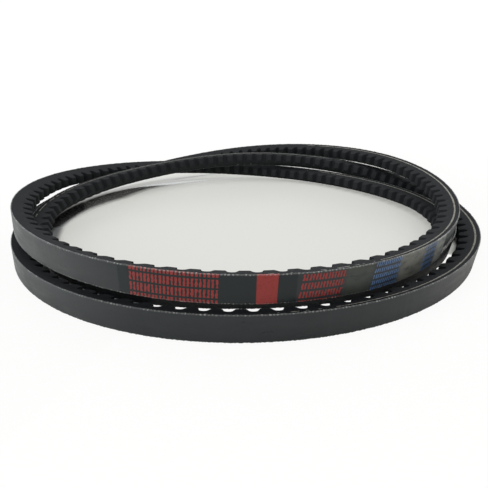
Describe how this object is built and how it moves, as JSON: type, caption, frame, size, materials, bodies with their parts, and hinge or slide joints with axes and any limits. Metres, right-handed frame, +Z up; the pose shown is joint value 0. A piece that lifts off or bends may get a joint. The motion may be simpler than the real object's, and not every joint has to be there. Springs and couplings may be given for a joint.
{
  "type": "v belt",
  "caption": "Endless raw-edge cogged narrow V-belt of bonded fabric, rubber and tensile cords, coiled in laps and lying on a table",
  "frame": {"origin": "on the table, under the middle of the coil's bounding box", "axes": "+Z up from the table, -Y towards the printed stretch of the back, +X to the right of someone facing that stretch"},
  "size_m": [0.384, 0.3884, 0.0444],
  "materials": {
    "back_fabric": "matt rubberised fabric with worn ink marks",
    "overcord_rubber": "ground satin rubber edge",
    "adhesion_rubber": "matt gum",
    "tensile_cord": "twisted polyester yarn, cut open along the flank",
    "compression_rubber": "fibre-filled rubber, ground flanks and moulded cogs"
  },
  "bodies": {
    "root": {"back_fabric": "back_fabric", "overcord_rubber": "overcord_rubber", "upper_adhesion_rubber": "adhesion_rubber", "tensile_cord_s_twist": "tensile_cord", "tensile_cord_z_twist": "tensile_cord", "lower_adhesion_rubber": "adhesion_rubber", "cogged_compression_rubber": "compression_rubber"}
  },
  "joints": []
}
